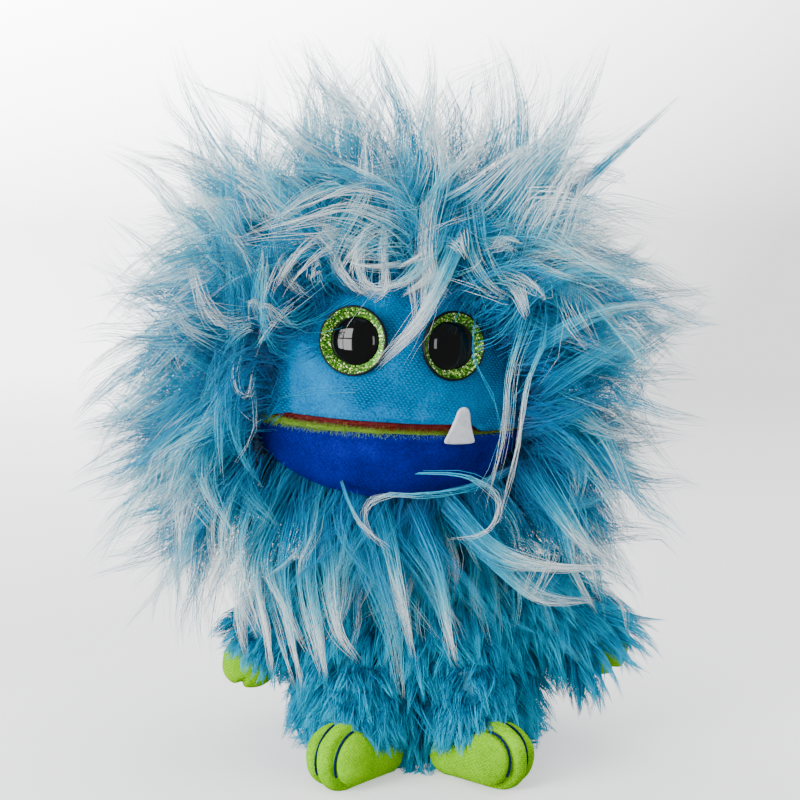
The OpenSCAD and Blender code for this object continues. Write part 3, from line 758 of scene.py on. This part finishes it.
# It's kept in front of the mouth's fold and above its sloping underside
points[:, 1] = np.minimum(points[:, 1], PLATE_BACK_Y - 0.1)
over = MOUTH_Z - (FOLD_Y - points[:, 1]) * math.tan(JAW_SLOPE) - 3.0 - points[:, 2]
points[:, 2] += np.where(over > 3, over, np.maximum(over + 3, 0) ** 2 / 12)
points = swollen(points, (0, 0, 120), 0.30 * ripple(points, 21, 1.0) + 0.04 * ripple(points, 1.4, 3.0))
jaw = sewn("jaw_velboa", from_head(points), faces, "jaw", "jaw", ("jaw_skin",))


def mouth_plate(name, low, high, reach, slimming, colour, body, replaces):
    """A plush lining with a rounded lip, and its short pile along the lip."""
    roll = (high - low) / 2
    turns = np.linspace(-90, 90, 9)
    outline = [(0.0, low)] + [(reach - roll + roll * math.cos(math.radians(a)),
                               (low + high) / 2 + roll * math.sin(math.radians(a))) for a in turns]
    outline += [(0.0, high)]
    points, faces = turned(outline, 160)
    points[:, 1] = np.minimum(points[:, 1], PLATE_BACK_Y)
    slim = slimming * smooth(np.arctan2(points[:, 0], -points[:, 1]), -0.9, 0.7)
    points[:, :2] *= (1 - slim / reach)[:, None]
    plate = sewn(name, from_head(points), faces, colour, body, replaces)
    count = 4200
    turn = np.radians(rng.uniform(-86, 86, count))
    lean = rng.uniform(-0.9, 0.9, count)
    out = np.stack([np.sin(turn), -np.cos(turn), lean], -1)
    roots = out * np.array([1, 1, 0]) * (reach - 0.5) + np.array([0, 0, (low + high) / 2])
    roots[:, 2] += lean * roll * 0.8
    roots[:, :2] *= (1 - slimming * smooth(turn, -0.9, 0.7) / reach)[:, None]
    paths = grow(roots, out + rng.normal(size=out.shape) * 0.4, rng.uniform(1.1, 2.6, count), 4, 0.03)
    mesh = fibre_mesh(name + "_pile", from_head(paths), 0.09, rng.uniform(0, 1, count))
    new_object(name + "_pile", mesh, MATERIALS[colour + "_pile"], body)


mouth_plate("mouth_roof_plush", 128.2, 130.3, 49.7, 0.0, "red", "head", ("upper_cover",))
mouth_plate("mouth_floor_plush", 125.5, 127.7, 50.2, 1.6, "green", "jaw", ("jaw_cover",))

# The felt fang: a rounded triangle that stands on the lower lip
half = [(0, 12.2), (1.2, 11.9), (2.0, 11.1), (2.5, 9.8), (3.0, 8.0), (3.7, 5.8), (4.5, 3.7), (5.3, 2.0),
        (5.9, 0.7), (6.0, 0.1), (5.6, -0.4), (3.0, -0.6), (0, -0.7)]
outline = np.array(half + [(-x, z) for x, z in reversed(half[1:-1])])
outline[:, 0] += 0.13 * outline[:, 1]
centre = np.array([0, 5.0])
layers = []
for depth, shrink in ((0.0, 0.80), (0.0, 0.93), (0.35, 1.0), (1.25, 1.0), (1.6, 0.93), (1.6, 0.80)):
    ring = centre + (outline - centre) * shrink
    layers.append(np.stack([ring[:, 0], np.full(len(ring), -depth), ring[:, 1]], -1))
fang_points = np.concatenate([layers[0].mean(0)[None]] + layers + [layers[-1].mean(0)[None]])
m = len(outline)
fang_faces = [(0, 1 + (j + 1) % m, 1 + j) for j in range(m)]
fang_faces += [tuple(1 + i for i in f) for f in grid_faces(len(layers), m, False, True)]
last = len(fang_points) - 1
fang_faces += [(last, last - m + j, last - m + (j + 1) % m) for j in range(m)]
fang_points = fang_points @ rotation(-4, "X").T + np.array([0, -(HEAD_R + 1.1), 124.2])
fang_points = fang_points @ rotation(24, "Z").T
fang = sewn("fang_felt", from_head(fang_points), fang_faces, "felt", "jaw", ("fang",))
softer = fang.modifiers.new("soft edges", "SUBSURF")
softer.levels = softer.render_levels = 2

# ---------------- eyes

def eye_place(side):
    """The eye's own axes and centre in the head's frame: its Z looks out of the face."""
    turn = Matrix.Rotation(side * EYE_SPREAD, 3, "Z")
    tip = Matrix.Rotation(math.radians(86), 3, "X")
    centre = turn @ Vector((0, -(float(head_radius(np.array(EYE_Z))) + 0.6), 0))
    return np.array(turn @ tip), np.array(centre) + np.array([0, 0, EYE_Z])


EYE_R, PUPIL_R = 12.0, 8.3
for side, word, shift in ((-1, "left", 0.9), (1, "right", 2.2)):
    axes, spot = eye_place(side)

    def eye_part(name, outline, material, replaces, sideways=0.0):
        points, faces = turned(outline, 128)
        points[:, 0] -= side * sideways
        sewn(name, from_head(points @ axes.T + spot), faces, material, "head", replaces)

    rim = [(EYE_R - inward, z) for inward, z in (
        (EYE_R, -0.3), (1.4, -0.3), (0.4, 0.4), (0, 1.2), (0.05, 1.9), (0.3, 2.3), (0.55, 2.4),
        (0.8, 2.2), (0.9, 1.2), (EYE_R, 0.9))]
    eye_part(word + "_eye_rim", rim, "cup", ("eye_cup_" + word,))
    eye_part(word + "_eye_iris", [(0, 0.92), (4, 0.94), (7.2, 1.0), (8.6, 1.2), (EYE_R - 1.1, 2.1),
                                  (EYE_R - 0.75, 2.2), (EYE_R - 0.75, 1.0), (0, 0.8)], "glitter",
             ("eye_iris_" + word,))
    dome = [(PUPIL_R * math.cos(a), 1.15 + 2.7 * math.sin(a)) for a in np.linspace(0, math.pi / 2, 20)]
    eye_part(word + "_eye_pupil", [(0, 1.0), (PUPIL_R - 0.15, 1.0)] + dome, "pupil",
             ("eye_pupil_" + word,), shift)

# ---------------- body

def tufts(name, roots, normal, along, count_each, length, body, radius=0.19, width=5.0, wild=0.22,
          droop=0.02):
    """Short plush pile in little tufts. Points are in the row frame, in millimetres."""
    heading = normal * 0.55 + along + rng.normal(size=roots.shape) * wild
    guides = grow(roots, heading, rng.uniform(*length, len(roots)), 6, droop, 0.2)
    paths = spread(guides, count_each, width, 0.7, 0.25, 0.6, 0.75, 1)
    paths[..., 2] = np.maximum(paths[..., 2], 0.3)
    tones = np.repeat(rng.normal(0.5, 0.25, len(roots)), count_each) + rng.normal(0, 0.1, len(paths))
    mesh = fibre_mesh(name, paths, radius * rng.uniform(0.75, 1.25, len(paths)), tones)
    return new_object(name, mesh, MATERIALS["teal"], body)


wall_z = np.linspace(0.6, TORSO_H, 60)
shell = [(torso_radius(z) - 0.2, z) for z in wall_z]
shell += [(torso_radius(z) - 2.6, z) for z in wall_z[::-1]]
points, faces = turned(shell, 120)
points[:, :2] += TORSO_XY
coat = sewn("body_backing", points, faces, "teal_base", "torso",
            ("body_front_plush", "body_back_plush", "hem_ring"))
count = 1700
z = rng.uniform(1.5, TORSO_H, count)
turn = rng.uniform(0, TURN, count)
reach = torso_radius(z)
slope = -(z - BELLY_Z) / TORSO_REACH ** 2 * BELLY_R ** 2 / np.maximum(reach, 1)
out = np.stack([np.cos(turn), np.sin(turn)], -1)
roots = np.concatenate([out * reach[:, None] + TORSO_XY, z[:, None]], 1)
normal = unit(np.concatenate([out, -slope[:, None]], 1))
tufts("body_pile", roots, normal, np.array([0, 0, -0.75]), 17, (14, 23), "torso", radius=0.21, width=6.5,
      wild=0.18, droop=0.028)


UP = np.array([0, 0, 1])


def outward_at(turn):
    return np.stack([np.cos(turn), np.sin(turn), 0 * turn], -1)


def sleeve(body, outline, axes, spot, replaces, count, length, lean, wild):
    """A plush tube turned round the limb's own axis, with its pile."""
    points, faces = turned(outline, 72)
    tube = sewn(body + "_backing", points @ axes.T + spot, faces, "teal_base", body, replaces)
    shape = np.array(outline)
    span = np.linspace(0, 1, len(shape))
    share = rng.uniform(0, 1, count)
    reach, height = np.interp(share, span, shape[:, 0]), np.interp(share, span, shape[:, 1])
    out = outward_at(rng.uniform(0, TURN, count))
    roots = out * reach[:, None] + UP * height[:, None]
    cap = np.clip((height - shape[:, 1].max() + 6) / 6, 0, 1)[:, None]
    normal = unit(out + UP * cap)
    tufts(body + "_pile", roots @ axes.T + spot, normal @ axes.T, np.array(lean) @ axes.T, 13, length,
          body, wild=wild)


for side, word, hang in ((-1, "left", 37), (1, "right", 50)):
    spot = pivot("shoulder_" + word)
    axes = rotation(-side * hang, "Y")
    cap = [(SHOULDER_R * math.cos(a), SHOULDER_R * math.sin(a)) for a in np.linspace(1.5, 0, 8)]
    cuff, flare, pile = (-23.6, 0.0, (9, 14)) if side < 0 else (-29.0, 2.5, (15, 24))
    sleeve("arm_" + word, cap + [(ARM_R - 0.3, -10), (ARM_R + flare * 0.5, -18), (ARM_R + flare, cuff + 0.6),
                                 (ARM_R + flare - 2, cuff)],
           axes, spot, ("sleeve_" + word,), 640, pile, (0, 0, -1.1), 0.22)
    palm = [(9.3 * math.cos(a), -ARM_L + 9.8 * math.sin(a)) for a in np.linspace(-math.pi / 2, 0.9, 40)]
    points, faces = turned([(0.0, -ARM_L - 9.8)] + palm + [(0.0, -ARM_L + 7.6)], 96)
    # The thumb bulges on the inner side, parted from the palm by a crease
    thumb = (-side * 6.5, -3.0, 1.0 - ARM_L)
    near = np.linalg.norm(points - thumb, axis=-1)
    crease = np.exp(-((points[:, 0] + side * 3.0) / 1.3) ** 2) * smooth(-points[:, 2], 33, 40)
    points = swollen(points, thumb, 2.6 * np.exp(-(near / 6.5) ** 2))
    points[:, 2] += 2.0 * crease
    points = swollen(points, (0, 0, -ARM_L), 0.25 * ripple(points, 11, 2))
    paw = sewn("paw_velboa_" + word, points @ axes.T + spot, faces, "lime", "arm_" + word,
               ("paw_" + word,))

for side, word, splay in ((-1, "left", 40), (1, "right", 48)):
    hip = pivot("hip_" + word)
    axes = rotation(-16, "X")
    sleeve("leg_" + word, [(2, 8.6), (6.5, 6.8), (9.2, 1.5), (10.2, -4), (10.6, -9), (10.0, -11.5), (8, -12)],
           axes, hip, ("leg_plush_" + word,), 430, (8, 13), (0, 0.10, -1.0), 0.14)
    # The foot lies along its own X from heel to toes, with three toes parted by stitched lines
    heel = np.array([-FOOT_L / 2, 0, HEEL_R - SOLE_CUT])
    ball = np.array([FOOT_L / 2, 0, FOOT_R - SOLE_CUT])
    run = np.linalg.norm(ball - heel)
    tangent = math.acos((HEEL_R - FOOT_R) / run)
    outline = [(HEEL_R * math.sin(a), -HEEL_R * math.cos(a)) for a in np.linspace(0, math.pi - tangent, 26)]
    outline += [(FOOT_R * math.sin(a), run - FOOT_R * math.cos(a))
                for a in np.linspace(math.pi - tangent, math.pi, 60)]
    points, faces = turned(outline, 120)
    lift = math.asin((ball - heel)[2] / run)
    stand = np.array(Matrix.Rotation(math.pi / 2 - lift, 3, "Y"))
    points = points @ stand.T + heel
    forward = smooth(points[:, 0], 1, 16)
    lines = (-4.0 - 1.6 * side, 4.0 - 1.6 * side)
    for line in lines:
        crease = np.exp(-((points[:, 1] - line) / 1.25) ** 2)
        points = swollen(points, ball, -2.1 * crease * forward)
    for toe in (lines[0] - 4.4, sum(lines) / 2, lines[1] + 4.4):
        points[:, 0] += 0.9 * np.exp(-((points[:, 1] - toe) / 2.8) ** 2) * smooth(points[:, 0], 5, 21)
    points = swollen(points, ball * 0.6, 0.30 * ripple(points, 13, side + 2.0))
    points[:, 2] = np.maximum(points[:, 2], 0.0)
    ankle = np.array([hip[0], hip[1] - 6, 0])
    swing = rotation(-90 + side * splay, "Z")
    foot = sewn("foot_velboa_" + word, points @ swing.T + ankle, faces, "lime", "leg_" + word,
                ("foot_" + word,))
    for number, line in enumerate(lines):
        reach = math.sqrt(FOOT_R ** 2 - line ** 2) - 0.9
        arc = np.radians(np.linspace(-28, 88, 34))
        path = np.stack([ball[0] + reach * np.cos(arc), np.full(len(arc), line) + 0.4 * np.sin(arc * 2),
                         ball[2] + reach * np.sin(arc)], -1)
        path = path[path[:, 2] > 0.6]
        curve = bpy.data.curves.new("toe_line", "CURVE")
        curve.dimensions = "3D"
        curve.bevel_depth, curve.bevel_resolution = 0.45 * MM, 3
        line_of = curve.splines.new("POLY")
        line_of.points.add(len(path) - 1)
        for point, place in zip(line_of.points, (path @ swing.T + ankle) * MM):
            point.co = (*place, 1)
        curve.materials.append(MATERIALS["navy"])
        stitch = placed("toe_line_%s_%d" % (word, number + 1), curve)
        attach(stitch, "leg_" + word)
        if number == 0:
            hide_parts("toe_stitches_" + word)

# The neck's gusset, and the beard that hangs from below the jaw
neck = pivot("head_nod")
low, high = np.array(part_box("neck_gusset")) / MM
z = np.linspace(low[2], high[2], 12)
ring = [(math.sqrt(25.0 ** 2 - (h - neck[2]) ** 2), h - neck[2]) for h in z]
points, faces = turned(ring + [(r - 1.4, h) for r, h in reversed(ring)], 96)
gusset = sewn("neck_backing", points + neck, faces, "teal_base", "neck", ("neck_gusset",))
count = 420
out = outward_at(rng.uniform(0, TURN, count))
tufts("neck_pile", neck + out * 24.5 + UP * rng.uniform(-13, 5, count)[:, None], out,
      np.array([0, 0, -0.6]), 6, (8, 13), "neck")

count = 190
turn = np.radians(rng.uniform(-100, 100, count))
reach = rng.uniform(6, 22, count)
roots = np.stack([np.sin(turn) * reach * 1.7, -np.cos(turn) * reach - 1, np.zeros(count)], -1)
roots[:, 2] = MOUTH_Z - (FOLD_Y - roots[:, 1]) * math.tan(JAW_SLOPE) - 3.2
heading = np.stack([np.sin(turn) * 0.55, -0.12 - 0.16 * np.cos(turn), np.full(count, -0.95)], -1)
guides = grow(roots, heading + rng.normal(size=heading.shape) * 0.16, rng.uniform(44, 78, count), 9,
              rng.uniform(0.014, 0.03, count), 0.5)
chin = drawn_locks([
    [20, -34, 98, 37, -50, 83, 58, -50, 78, 86, -42, 77],
    [26, -32, 97, 40, -46, 80, 54, -50, 68, 74, -46, 66],
    [-8, -34, 99, -4, -50, 80, 3, -57, 58, 6, -56, 33],
    [-4, -32, 98, 2, -49, 79, 6, -56, 62, 10, -56, 46],
    [8, -34, 97, 17, -50, 77, 21, -56, 58, 24, -55, 44],
    [-34, -28, 97, -38, -44, 76, -34, -54, 54, -30, -53, 36],
    [-38, -26, 97, -46, -42, 76, -42, -52, 56, -40, -50, 40],
    [-30, -30, 97, -30, -46, 74, -25, -56, 54, -22, -54, 40],
    [-40, -22, 97, -50, -40, 78, -52, -50, 62, -50, -50, 46],
    [-26, -30, 97, -22, -48, 76, -18, -57, 58, -10, -57, 46],
    [-34, -26, 97, -42, -46, 80, -36, -55, 66, -28, -58, 50]])
hair("chin_locks", chin, 56, body="jaw", radius=0.14, tone=0.84, tone_spread=0.10, short=0.6, frizz=1.0)
hair("chin_curls", drawn_locks([
    [44, -38, 112, 30, -57, 108, 12, -63, 106, -2, -62, 106, -8, -58, 99, -5, -54, 90, 4, -55, 82],
    [10, -54, 112, 26, -60, 112, 38, -58, 104, 34, -56, 92, 20, -56, 90],
    [-16, -48, 108, -12, -60, 100, -6, -60, 92, 2, -58, 86]]),
    13, body="jaw", widths=(2.4, 0.5), radius=0.12, tone=0.95, frizz=1.6, **THIN)
hair("beard_hair", guides, 24, ("beard",), body="jaw", radius=0.15, tone=0.35)

# ---------------- floor, light and camera

def glow(name, pale, near, sides, rise):
    """Pale paint with a painted glow of its own: painted light, brighter to the left and upwards, and dimmer
    near the object.
    """
    n = Nodes(name)
    spot = n.add("TexCoord").outputs["Object"]
    far = n.vector("LENGTH", spot).outputs["Value"]
    across, _, upward = n.add("SeparateXYZ", Vector=n.vector("NORMALIZE", spot).outputs[0]).outputs
    # Painted light: the glow gets stronger to the left and upwards, as if light fell from the upper left
    side = n.ramp(n.plus(n.times(across, 2.2), 0.5), [(0.0, sides[0]), (1.0, sides[1])])
    up = n.ramp(n.times(upward, 4.0), [(0.0, 1.0), (1.0, rise)])
    side = n.mix(1.0, side, up, "MULTIPLY")
    reach = n.ramp(n.times(far, 0.5), [(0.12, 0.0), (0.75, 1.0)])
    shine = n.mix(n.times(n.noise(400.0), 0.02), n.mix(reach, near, side), 1.0)
    paint = n.mix(n.times(n.noise(300.0), 0.04), n.mix(reach, pale, 0.0), 0.0)
    return n.finish(paint, 0.9, Specular_IOR_Level=0.0, Emission_Color=shine, Emission_Strength=1.0)


def stage_piece(name, points, faces, material):
    mesh = bpy.data.meshes.new(name)
    mesh.from_pydata(points, [], faces)
    mesh.update()
    piece = new_object(name, mesh, material, None)
    piece.visible_diffuse = piece.visible_glossy = piece.visible_transmission = False
    return piece


STAGE_R, SPOKES = 12, 96
angles = np.linspace(0, TURN, SPOKES, endpoint=False)
rim_of = [(math.cos(a), math.sin(a)) for a in angles]
stage_piece("floor", [(x * STAGE_R, y * STAGE_R, 0) for x, y in rim_of], [tuple(range(SPOKES))],
            glow("floor_paint_and_painted_light", 0.80, 0.50, (5.2, 1.7), 1.0))
rows = [(STAGE_R * math.cos(a), STAGE_R * math.sin(a)) for a in np.linspace(0, math.pi / 2, 20)]
dome = stage_piece("sky_dome", [(x * r, y * r, z) for r, z in rows for x, y in rim_of],
                   [tuple(reversed(f)) for f in grid_faces(20, SPOKES, False, True)],
                   glow("sky_painted_light", 0.0, 0.50, (5.2, 1.7), 3.4))
dome.visible_shadow = False


def softbox(name, place, aim_z, size, power, colour=(1, 1, 1), reflected=False):
    """A rectangular lamp that faces the puppet. It's seen in the eyes only where it's reflected."""
    lamp = bpy.data.lights.new(name, "AREA")
    lamp.shape, lamp.size, lamp.size_y = "RECTANGLE", size[0], size[1]
    lamp.energy, lamp.color = power, colour
    holder = placed(name, lamp)
    holder.location = place
    holder.rotation_euler = (Vector((0, 0, aim_z)) - Vector(place)).to_track_quat("-Z", "Y").to_euler()
    holder.visible_glossy = reflected


for column in (0, 1):
    for row in (0, 1):
        place = (-0.80 + 0.21 * column, -0.55 - 0.17 * column, 0.13 + 0.30 * row)
        softbox("window_%d%d" % (row, column), place, 0.13, (0.24, 0.27), 5, reflected=True)
softbox("window_far", (0.32, -0.95, 0.25), 0.14, (0.16, 0.34), 2, reflected=True)
softbox("fill", (0.9, -0.7, 0.5), 0.12, (0.9, 0.9), 8, (0.97, 0.99, 1.0))
softbox("front", (-0.4, -0.9, 0.7), 0.13, (0.5, 0.5), 5)
softbox("above", (-0.1, 0.1, 1.2), 0.1, (1.2, 1.2), 16, reflected=True)
for word, across in (("left", -1.0), ("right", 1.0)):
    softbox("rear_" + word, (across, 0.75, 0.55), 0.12, (1.0, 1.0), 15)

world = bpy.data.worlds.new("room")
world.use_nodes = True
air = world.node_tree.nodes["Background"].inputs
air["Color"].default_value = (0.95, 0.98, 1.0, 1)
air["Strength"].default_value = 0.42
bpy.context.scene.world = world

camera = bpy.data.cameras.new("camera")
camera.lens = 80
eye = placed("camera", camera)
aim, rise, far = Vector((0.0045, -0.03, 0.1347)), math.radians(6.5), 0.632
eye.location = aim + Vector((0, -math.cos(rise), math.sin(rise))) * far
eye.rotation_euler = (aim - eye.location).to_track_quat("-Z", "Y").to_euler()
bpy.context.scene.camera = eye
